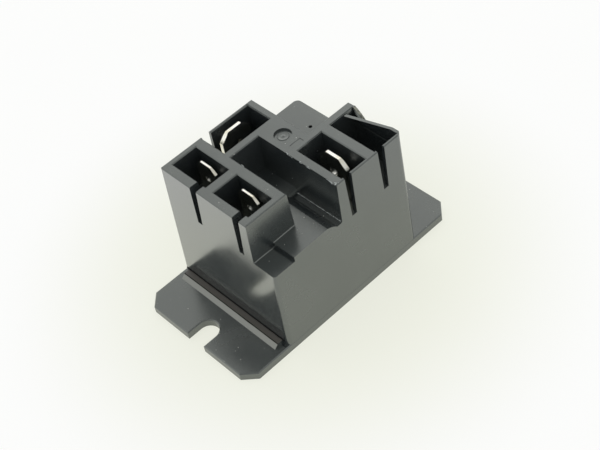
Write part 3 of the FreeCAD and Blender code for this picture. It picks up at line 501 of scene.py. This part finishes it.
# %% Finishes on the solids
for part in frame["record"]["subparts"]:
    node = nodes[part["node"]]
    node.data.materials.clear()
    node.data.materials.append(finishes[part["material_slot"]])
print("finishes are on", len(nodes), "nodes")


def closed_piece(name, shape, finish, smooth=True):
    """The shape's points and faces as a closed mesh in one of the finishes."""
    piece = outwards(mesh_piece(name, *shape, smooth=smooth))
    piece.data.materials.append(finishes[finish])
    print(name, "has", len(piece.data.polygons), "faces")
    return piece


# %% [markdown]
# The coil is fine enamelled wire wound turn beside turn. Single turns would be thousands of tubes,
# so the winding is one turned body whose radius ripples: a crest for each wire, and the crests
# move on by one wire's width for each time round, as a real winding does.

# %% Wound coil
coil_y, coil_z = 2.4006, 8.6
wind_x0, wind_x1 = -11.3289, 3.9730


def wound_coil(outer=5.99, bore=3.62, wire=0.27, ripple=0.07, around=72, to_a_wire=5):
    """Radius is the outer one less a ripple: its depth times one less the size of a cosine, whose
    angle is half a turn for each wire along X plus half a turn for each time round."""
    x = np.linspace(wind_x0, wind_x1, int((wind_x1 - wind_x0) / wire * to_a_wire))
    turn = np.linspace(0, 2 * np.pi, around, endpoint=False)
    crest = np.abs(np.cos(np.pi * x[:, None] / wire + turn[None, :] / 2))
    radius = outer - ripple * (1 - crest)
    x = np.concatenate([x, [wind_x1, wind_x0]])
    radius = np.concatenate([radius, np.full((2, around), bore)])
    points = np.stack([np.broadcast_to(x[:, None], radius.shape), coil_y + radius * np.cos(turn),
                       coil_z + radius * np.sin(turn)], 2)
    return points.reshape(-1, 3), grid_faces(len(x), around, True, True)


winding = closed_piece("wound_coil", wound_coil(), "magnet_wire")
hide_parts("coil_winding")
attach(winding, "case")

# %% [markdown]
# Yellow film holds the turns. It is a tape that goes just over twice round, so its end makes a
# step: a spiral whose radius grows evenly with the angle, with a flat section carried along it.
# A plain sleeve would lack the step where the tape ends.

# %% Film wrap
def film_spiral(first=6.018, growth=0.04, film=0.032, rounds=2.12, count=190, begin=0.9):
    """Radius is the first one plus the growth for each round. The section is a thin oblong."""
    a = np.linspace(0, 2 * np.pi * rounds, count) + begin
    radius = first + growth * (a - a[0]) / (2 * np.pi)
    corners = [(wind_x0, 0.0), (wind_x1, 0.0), (wind_x1, film), (wind_x0, film)]
    points = np.stack([np.stack([np.full_like(a, x), coil_y + (radius + out) * np.cos(a),
                                 coil_z + (radius + out) * np.sin(a)], 1) for x, out in corners], 1)
    return points.reshape(-1, 3), tube_faces(count, len(corners))


film = closed_piece("film_wrap", film_spiral(), "wrap_film", smooth=False)
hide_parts("coil_wrap")
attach(film, "case")

# %% [markdown]
# The moving contact is fed by a soft copper braid. It is made as braids are: flat strands that
# wind round a line both ways and pass over and under each other. The line is a smooth curve from
# the arm of the common terminal to the blade.

# %% Braid
def smooth_route(corners, count):
    """Points of a quadratic spline that starts and ends at the outer corners, evenly spaced."""
    inner = [(a + b) / 2 for a, b in zip(corners[1:], corners[2:-1])]
    starts, ends = [corners[0]] + inner, inner + [corners[-1]]
    u = np.linspace(0, 1, 40, endpoint=False)[:, None]
    line = np.concatenate([(1 - u) ** 2 * a + 2 * u * (1 - u) * c + u ** 2 * b
                           for a, c, b in zip(starts, corners[1:-1], ends)] + [corners[-1:]])
    gone = np.concatenate([[0], np.cumsum(np.linalg.norm(np.diff(line, axis=0), axis=1))])
    even = np.linspace(0, gone[-1], count)
    return np.stack([np.interp(even, gone, line[:, k]) for k in range(3)], 1), gone[-1]


def carried_frames(line):
    """Two directions square to the line that turn no more than the line itself does."""
    ahead = np.gradient(line, axis=0)
    ahead /= np.linalg.norm(ahead, axis=1, keepdims=True)
    side = [np.array((1.0, 0.0, 0.0))]
    for step in ahead[1:]:
        kept = side[-1] - step * (side[-1] @ step)
        side.append(kept / np.linalg.norm(kept))
    side = np.array(side)
    return side, np.cross(ahead, side)


def woven(corners, radius=0.66, core=0.52, strands=8, flat=(0.15, 0.05), pitch=5.0, ripple=0.05,
          count=130):
    """A strand's angle goes once round for each pitch, one way or the other; its distance from the
    line rises and falls by the ripple, out of step with the strands that it crosses."""
    line, length = smooth_route(np.array(corners, float), count)
    side, over = carried_frames(line)
    along = np.linspace(0, length, count)
    shapes = [along_line(line, core, core, 10, side, over)]
    for way in (1, -1):
        for k in range(strands):
            a = way * 2 * np.pi * along / pitch + 2 * np.pi * k / strands
            weave = way * np.cos(strands * 2 * np.pi * along / pitch / 2 + np.pi * k)
            out = np.cos(a)[:, None] * side + np.sin(a)[:, None] * over
            tangent = -np.sin(a)[:, None] * side + np.cos(a)[:, None] * over
            strand = line + out * (radius + ripple * weave)[:, None]
            shapes.append(along_line(strand, *flat, 6, tangent, out))
    return gather(shapes)


braid_corners = [(12.209, 10.15, 16.1), (12.209, 6.15, 16.1), (12.609, 3.60, 12.8),
                 (12.609, 2.60, 8.6), (8.99, 2.60, 8.6)]
braided = closed_piece("woven_braid", woven(braid_corners), "braid_copper")
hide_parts("braid")
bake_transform(braided)

# %% [markdown]
# The back wall of the empty socket was torn at one corner. The plastic that tore went pale and
# ragged, so a thin rough skin lies on the torn edge: a grid that runs up the curved tear and
# across the wall, pushed in and out by random amounts. A body along a line couldn't lie on it
# as closely. Flash, where a mould leaks, is pale in the same way, and its paler copy of that
# finish is partly a painted highlight on its thin edges.

# %% Torn edge
def torn_plastic(name, pale, dark):
    """Crazed patches of a pale and a dark colour, the pale ones standing lower and rougher."""
    material, tree, shader, place = start_material(name)
    crazed = remap(tree, noise(tree, place, 2600.0, 4.0, 0.7), 0.42, 0.62, 0.0, 1.0, True)
    tree.links.new(mix_colours(tree, crazed, pale, dark), shader.inputs["Base Color"])
    tree.links.new(remap(tree, crazed, 0.0, 1.0, 0.75, 0.5), shader.inputs["Roughness"])
    raise_bump(tree, shader, crazed, 0.5, 0.03)
    return material


def torn_skin(rim=27.35, drop=3.35, x_in=15.36, x_out=15.86, y_rim=-2.48, y_foot=-5.55,
              hollow=0.33, thick=0.05, rows=40, columns=8):
    """Up the tear, Y goes from the foot to the rim and is bowed by a half sine; each row then runs
    round a thin slab, whose outer side stands off by a random share of a tenth of a millimetre."""
    up = np.linspace(0.0, 1.0, rows)
    run = math.hypot(y_rim - y_foot, drop)
    off_y, off_z = -drop / run, (y_rim - y_foot) / run
    bow = -hollow * np.sin(np.pi * up)
    y = (y_foot + (y_rim - y_foot) * up - bow * off_y)[:, None]
    z = (rim - drop * (1 - up) - bow * off_z)[:, None]
    across = np.broadcast_to(np.linspace(x_in, x_out, columns), (rows, columns))
    rough = np.random.default_rng(3).uniform(0.03, 0.13, (rows, columns))
    rough[:, [0, -1]] *= 0.4
    rough[[0, -1], :] *= 0.3
    top = np.stack([across, y + off_y * rough, z + off_z * rough], 2)
    level = np.ones((1, columns))
    under = np.stack([across[:, ::-1], (y - thick * off_y) * level, (z - thick * off_z) * level], 2)
    return np.concatenate([top, under], 1).reshape(-1, 3), tube_faces(rows, 2 * columns)


finishes["torn_plastic"] = torn_plastic("torn_plastic", (0.30, 0.30, 0.25), (0.09, 0.09, 0.08))
# The paler flash finish is partly a painted highlight on thin edges.
finishes["flash_and_painted_highlight"] = torn_plastic("flash_and_painted_highlight", (0.50, 0.53, 0.52), (0.20, 0.21, 0.21))
torn = closed_piece("torn_edge", torn_skin(), "torn_plastic", smooth=False)
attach(torn, "case")

# %% [markdown]
# Where a mould closes, plastic creeps into the joint and is left as flash: thin ragged lips on
# the edge of the channel's wall, and a nib where a piece broke off. Each lip is a body along the
# edge whose height is random and fades out at both ends. Beside them, flat flecks show where the
# rim was chipped. All are real shapes, because a bump in the material can't change an outline.
# Their pale colour is partly a painted highlight.

# %% Flash on the edges
def flash_lip(start, end, height, seed, count=26):
    """A line from start to end that strays by 0.05 mm; the height is a random share of the given
    one, times the root of a sine that is nearly nought at both ends."""
    u = np.linspace(0, 1, count)
    line = np.array(start) + (np.array(end) - np.array(start)) * u[:, None]
    line[:, 0] += 0.05 * unrest(count, seed + 50)
    fade = np.sin(np.pi * np.clip(u, 0.02, 0.98)) ** 0.5
    tall = np.abs(height * fade * (0.65 + 0.35 * unrest(count, seed, 1)))
    return along_line(line, tall / 2.5 + 0.015, tall + 0.01, 6)


def fleck(x0, y0, x1, y1, wide, high=0.022, level=27.345):
    """A flat drop from one place on the rim to another, bent by 0.03 mm at its wide middle."""
    line = [(x0, y0, level), ((x0 + x1) / 2 + 0.03, (y0 + y1) / 2, level), (x1, y1, level)]
    return along_line(line, (0.4 * wide, wide, 0.5 * wide), high, 8)


edge_x, rim_z = 0.62, 27.24
lips = [((edge_x, -1.5, rim_z), (edge_x, -2.9, rim_z), 0.10, 1),
        ((edge_x, -4.5, rim_z), (edge_x, -5.2, rim_z), 0.08, 2),
        ((edge_x, -6.0, rim_z), (edge_x, -7.1, rim_z), 0.07, 5),
        ((edge_x, -10.8, rim_z), (edge_x, -12.9, rim_z), 0.13, 3),
        ((edge_x, -11.9, rim_z - 0.2), (edge_x + 0.1, -12.95, rim_z - 0.25), 0.14, 8),
        ((edge_x + 0.1, -12.9, rim_z - 0.05), (edge_x + 1.0, -12.9, rim_z - 0.05), 0.11, 4),
        ((-5.75, 2.9, 27.12), (-5.75, 2.2, 27.12), 0.2, 6)]
flecks = [(0.74, -1.2, 0.70, -1.8, 0.07), (0.72, -4.4, 0.70, -4.9, 0.08),
          (0.72, -6.3, 0.74, -6.7, 0.05), (0.80, -12.45, 0.98, -12.9, 0.09),
          (0.68, -12.7, 0.66, -13.05, 0.08), (1.15, -12.95, 1.45, -12.98, 0.05)]
ragged = gather([flash_lip(*row) for row in lips] + [fleck(*row) for row in flecks])
flash = closed_piece("mould_flash", ragged, "flash_and_painted_highlight")
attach(flash, "case")

# %% [markdown]
# A punch burnishes the hole that it makes in a tab, so the inside of a hole shines more than the
# rolled faces. A tab is one CAD mesh with one finish, so each hole gets a thin bright sleeve, a
# tube that lines it from face to face.

# %% Sleeves in the holes
def sleeve(middle, radius, across, thickness, wall=0.012, sunk=0.01, around=64):
    """Round the direction across, from just inside the metal to a wall's width inside the hole,
    and from one face of the tab to the other and back."""
    turn = np.linspace(0, 2 * np.pi, around, endpoint=False)[:, None, None]
    across, up = np.array(across, float), np.array((0.0, 0.0, 1.0))
    outward = np.cos(turn) * np.cross(across, up) + np.sin(turn) * up
    section = np.array([(sunk, -0.5), (-wall, -0.5), (-wall, 0.5), (sunk, 0.5)])
    points = (np.array(middle) + outward * (radius + section[None, :, :1])
              + across * (thickness * section[None, :, 1:]))
    return points.reshape(-1, 3), grid_faces(around, len(section), True, True)


coil_tab_x, coil_hole_z, coil_hole, coil_thick = -9.337, 23.75, 0.65, 0.49
load_hole_z, load_hole, load_thick = 23.35, 0.9, 0.79
sleeves = gather([sleeve((coil_tab_x, 7.84, coil_hole_z), coil_hole, (1, 0, 0), coil_thick),
                  sleeve((coil_tab_x, -2.61, coil_hole_z), coil_hole, (1, 0, 0), coil_thick),
                  sleeve((5.493, -7.5, load_hole_z), load_hole, (1, 0, 0), load_thick),
                  sleeve((-0.562, 10.55, load_hole_z + 0.35), load_hole, (0, 1, 0), load_thick)])
lining = closed_piece("hole_sleeves", sleeves, "burnished_tin", smooth=False)
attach(lining, "case")

# %% [markdown]
# A mould has no sharp inner corners, so the foot of a wall runs into the floor in a small hollow
# curve, which shows as a thin light line in the dark front corner. The strip's section is a
# square corner less a quarter circle, carried along the foot of the coil block. Across the
# channel, at the foot of the load block's wall, a thin raised strip in the pale flash finish is a
# painted highlight, standing in for the light line along the rounded foot of that wall. It is
# thickest where it starts, and is a body along a line.

# %% Hollow curve and painted highlight at the feet of the blocks
def hollow_curve(start, end, radius=0.22, sunk=0.05):
    """Section across X: two corners inside the plastic, then a quarter circle from the wall to the
    floor whose centre lies one radius out from the wall and one above the floor."""
    a = np.linspace(0, -np.pi / 2, 7)
    arc = np.stack([radius * np.cos(a) - radius, radius * np.sin(a) + radius], 1)
    section = np.concatenate([[(sunk, -sunk), (sunk, radius)], arc, [(-radius, -sunk)]])
    ring = np.concatenate([np.zeros((len(section), 1)), section], 1)
    return np.concatenate([ring + start, ring + end]), tube_faces(2, len(section))


def highlight_strip(x=0.29, z=18.96, y_start=-2.6, y_end=-13.05, count=60):
    """Half the thickness is 0.05 mm and some unrest, plus 0.07 mm times a bell near the start."""
    y = np.linspace(y_start, y_end, count)
    thick = 0.05 + 0.012 * unrest(count, 31) + 0.07 * np.exp(-((y + 2.8) / 0.25) ** 2)
    return along_line(np.stack([0 * y + x, y, 0 * y + z], 1), thick, thick, 6)


feet = gather([hollow_curve((-15.1, -8.373, 18.9), (-10.53, -8.373, 18.9)),
               hollow_curve((-10.5, -8.344, 19.85), (-5.6, -8.344, 19.947))])
foot = closed_piece("block_foot", feet, "case_plastic", smooth=False)
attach(foot, "case")
# Painted highlight: a pale strip where the rounded foot of the wall catches the light.
painted_highlight_strip = closed_piece("groove_painted_highlight", highlight_strip(), "flash_and_painted_highlight")
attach(painted_highlight_strip, "case")

# %% [markdown]
# The plastic entered the mould through a small gate in the round recess, which left a low dished
# boss there. It is a profile turned about an upright line: a height for each radius. It stands
# high enough to catch the light at a slant, which a bump alone would not show from low down.

# %% Gate mark
def gate_boss(x=3.35, y=2.30, floor=26.93, around=48):
    """Height over the recess: a rounded ring at 0.9 mm, a dish inside it, a pip in the middle."""
    radius = np.array([0.08, 0.16, 0.24, 0.5, 0.72, 0.82, 0.9, 0.98, 1.06, 1.12])
    rise = np.array([0.095, 0.06, 0.02, 0.02, 0.03, 0.06, 0.08, 0.06, 0.02, -0.02])
    pip = 0.10
    turn = np.linspace(0, 2 * np.pi, around, endpoint=False)
    rings = [np.stack([x + r * np.cos(turn), y + r * np.sin(turn), np.full(around, floor + h)], 1)
             for r, h in zip(radius, rise)]
    points = np.concatenate(rings + [[[x, y, floor + pip]]])
    middle = len(radius) * around
    faces = grid_faces(len(radius), around, False, True)
    faces += [[j, (j + 1) % around, middle] for j in range(around)]
    return points, faces + [list(range(middle - 1, middle - around - 1, -1))]


gate = closed_piece("gate_mark", gate_boss(), "case_plastic")
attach(gate, "case")

# %% [markdown]
# An insert in the mould left its outline on the plain top as a fine line with one corner, which
# shows dark. A groove would have to be cut in the CAD mesh, so the piece is a flat black matt
# bead on the top: painted shade that stands in for the shade in that line.

# %% Insert line
def painted_shade_black(name):
    """Painted shade: nearly black and matt, a little lighter in patches."""
    material, tree, shader, place = start_material(name)
    patches = noise(tree, place, 900.0, 3.0, 0.6)
    tree.links.new(mix_colours(tree, patches, (0.004, 0.004, 0.004), (0.010, 0.010, 0.010)),
                   shader.inputs["Base Color"])
    tree.links.new(remap(tree, patches, 0.0, 1.0, 0.85, 0.95), shader.inputs["Roughness"])
    shader.inputs["Specular IOR Level"].default_value = 0.1
    return material


def insert_outline(top=27.35, count=33):
    """A level line that bends at its corners and has as many points on each of its four runs."""
    corners = np.array([(2.15, -0.62), (3.2, -0.62), (4.54, -0.62), (4.54, -1.2), (4.54, -1.5)])
    along = np.linspace(0, 4, count)
    x, y = [np.interp(along, np.arange(5), corners[:, k]) for k in (0, 1)]
    return np.stack([x, y, np.full(count, top)], 1)


# Painted shade: a black matt finish for dark lines where shade falls.
finishes["painted_shade_black"] = painted_shade_black("painted_shade_black")
insert = closed_piece("insert_line", along_line(insert_outline(), 0.045, 0.012, 6), "painted_shade_black")
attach(insert, "case")

# %% [markdown]
# Dust lies on the ledge at the foot of the polished face, brownish on its level top. Its slope is
# painted paler, a painted sheen where the slope catches the light. Along the foot of the face a
# thin black line is painted shade, and another thin black line runs along the outer edge of the
# level top. The dust is a film with the ledge's own section, because a pattern in the material
# couldn't end at its edges.

# %% Dust, painted sheen and painted shade on the ledge
ledge_half, ledge_z, flange_z = 12.33, 2.4, 1.6
face_x, top_x, low_x = -15.806, -17.008, -17.806


def ledge_film(lift=0.015, thick=0.03, short=0.02):
    """The ledge's section, raised by the lift and thickened by going back under itself, drawn
    along Y from one end of the ledge to the other."""
    over = np.array([(face_x, ledge_z), (top_x, ledge_z), (low_x + short, flange_z + short)])
    away = np.array([(0.0, 1.0), (-0.38, 0.92), (-0.71, 0.71)])
    section = np.concatenate([over + lift * away, (over + (lift - thick) * away)[::-1]])
    count = len(section)
    ends = [np.stack([section[:, 0], np.full(count, y), section[:, 1]], 1)
            for y in (-ledge_half, ledge_half)]
    return np.concatenate(ends), tube_faces(2, count)


def ledge_dust_and_sheen(name, slope, level, blend=0.05):
    """A paler colour on the slope, which is a painted sheen, another on the level top, and a gloss
    that varies in patches.
    """
    material, tree, shader, place = start_material(name)
    x = split(tree, place)[0]
    over_top = remap(tree, x, (top_x - blend) * mm, (top_x + blend) * mm, 0.0, 1.0)
    tree.links.new(mix_colours(tree, over_top, slope, level), shader.inputs["Base Color"])
    patches = noise(tree, place, 700.0, 3.0, 0.6)
    tree.links.new(remap(tree, patches, 0.3, 0.7, 0.28, 0.40), shader.inputs["Roughness"])
    raise_bump(tree, shader, patches, 0.2, 0.01)
    return material


def bead(x, z, half, wide, high, count=60):
    """A line along Y, as far to one side as to the other, with a section that varies."""
    y = np.linspace(-half, half, count)
    return along_line(np.stack([0 * y + x, y, 0 * y + z], 1), wide, high, 8)


# The slope's pale colour is a painted sheen; the brownish top is dust.
finishes["ledge_dust_and_painted_sheen"] = ledge_dust_and_sheen("ledge_dust_and_painted_sheen", (0.255, 0.258, 0.236), (0.085, 0.079, 0.070))
dust_and_sheen_film = closed_piece("ledge_dust_and_painted_sheen", ledge_film(), "ledge_dust_and_painted_sheen", smooth=False)
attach(dust_and_sheen_film, "case")
# The foot bead is painted shade along the foot of the polished face; the edge bead is a thin black
# line.
foot_bead = bead(face_x, 2.54, 12.9, 0.10 + 0.02 * unrest(60, 41), 0.19 + 0.03 * unrest(60, 42))
edge_bead = bead(top_x, ledge_z + 0.01, 12.9 * 0.955, 0.085 + 0.02 * unrest(60, 43), 0.05)
beads = closed_piece("painted_shade_lines", gather([foot_bead, edge_bead]), "painted_shade_black")
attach(beads, "case")

# %% [markdown]
# Near the relay the paper's glow is a little darker, warmer and greener than white: a painted
# shade round the relay. A background made white by more light would bleach the relay, so the
# paper glows only for the rays that see it: the camera's own, and those off gloss and through
# glass. The world is one plain level for everything that it lights, and white to the camera.
# Gloss sees it white near the paper and darker overhead, as a room is above a lit table. The
# paper's back is clear, so the underside can be looked at.

# %% Paper and world
def seeing(tree, rays):
    """One for a ray from the camera, off gloss or through glass, and nought for the others."""
    seen = calculate(tree, "ADD", rays.outputs["Is Camera Ray"], rays.outputs["Is Glossy Ray"])
    return calculate(tree, "ADD", seen, rays.outputs["Is Transmission Ray"])


def mix_shaders(tree, factor, first, second):
    """The first shader where the factor is nought, the second where it is one."""
    node = tree.nodes.new("ShaderNodeMixShader")
    for socket, value in zip(node.inputs, (factor, first, second)):
        tree.links.new(value, socket)
    return node.outputs["Shader"]


def paper(near_mm=22, far_mm=58, glow_share=0.8):
    """Matt paper, mixed for the rays that see it with a glow that goes from a darker, warmer colour
    near the relay, a painted shade, to white further away. Its back is clear."""
    material, tree, shader, place = start_material("paper")
    shader.inputs["Base Color"].default_value = (0.93, 0.94, 0.90, 1.0)
    shader.inputs["Roughness"].default_value = 0.9
    shader.inputs["Specular IOR Level"].default_value = 0.0
    away = tree.nodes.new("ShaderNodeVectorMath")
    away.operation = "LENGTH"
    tree.links.new(place, away.inputs[0])
    far = remap(tree, away.outputs["Value"], near_mm * mm, far_mm * mm, 0.0, 1.0, True)
    glow = tree.nodes.new("ShaderNodeEmission")
    # Painted shade: the glow is darker and warmer near the relay.
    painted_shade_cream, white = (0.88, 0.89, 0.785), (1.0, 1.0, 1.0)
    tree.links.new(mix_colours(tree, far, painted_shade_cream, white), glow.inputs["Color"])
    glow.inputs["Strength"].default_value = 1.0
    seen = seeing(tree, tree.nodes.new("ShaderNodeLightPath"))
    lit = mix_shaders(tree, product(tree, seen, glow_share), shader.outputs["BSDF"],
                      glow.outputs["Emission"])
    side = tree.nodes.new("ShaderNodeNewGeometry").outputs["Backfacing"]
    clear = tree.nodes.new("ShaderNodeBsdfTransparent").outputs["BSDF"]
    tree.links.new(mix_shaders(tree, side, lit, clear),
                   tree.nodes["Material Output"].inputs["Surface"])
    return material


floor.data.materials.append(paper())
plain_level, low_wall, high_wall, overhead = 0.85, 0.35, 0.65, 0.42
world = bpy.data.worlds.new("studio")
world.use_nodes = True
room = world.node_tree
sky = room.nodes["Background"]
sky.inputs["Color"].default_value = (0.98, 1.0, 0.99, 1.0)
rays = room.nodes.new("ShaderNodeLightPath")
height = split(room, room.nodes.new("ShaderNodeTexCoord").outputs["Generated"])[2]
walls = remap(room, height, low_wall, high_wall, 1.0, overhead, True)
strength = remap(room, seeing(room, rays), 0.0, 1.0, plain_level, walls)
room.links.new(calculate(room, "MAXIMUM", strength, rays.outputs["Is Camera Ray"]),
               sky.inputs["Strength"])
bpy.context.scene.world = world
print("paper and world:", floor.data.materials[0].name, world.name)

# %% [markdown]
# The light is one wide soft lamp above and behind the relay, a little to its left as the camera
# sees it. It puts the sheen on every level face and throws the soft shadow to the right. A weaker
# one fills from the front and isn't mirrored in the gloss, and a small one high on the right gives
# the edges and the tabs their glints.

# %% Lamps
def soft_lamp(name, direction, distance, width, power, aim=12):
    """A square lamp that stands off in the direction and faces a point on the upright axis."""
    lamp = bpy.data.lights.new(name, "AREA")
    lamp.shape = "SQUARE"
    lamp.size = width
    lamp.energy = power
    holder = bpy.data.objects.new(name, lamp)
    towards = Vector(direction).normalized()
    holder.location = towards * distance + Vector((0, 0, aim * mm))
    holder.rotation_euler = towards.to_track_quat("Z", "Y").to_euler()
    bpy.context.scene.collection.objects.link(holder)
    return holder


key = soft_lamp("window", (0.36, 0.58, 0.73), 0.8, 0.8, 1.05)
fill = soft_lamp("front_fill", (-0.3, -0.8, 0.5), 0.9, 0.6, 0.38)
fill.visible_glossy = False
glint = soft_lamp("glint", (0.36, -0.54, 0.76), 0.9, 0.25, 0.1)
print("lamps:", key.name, fill.name, glint.name)
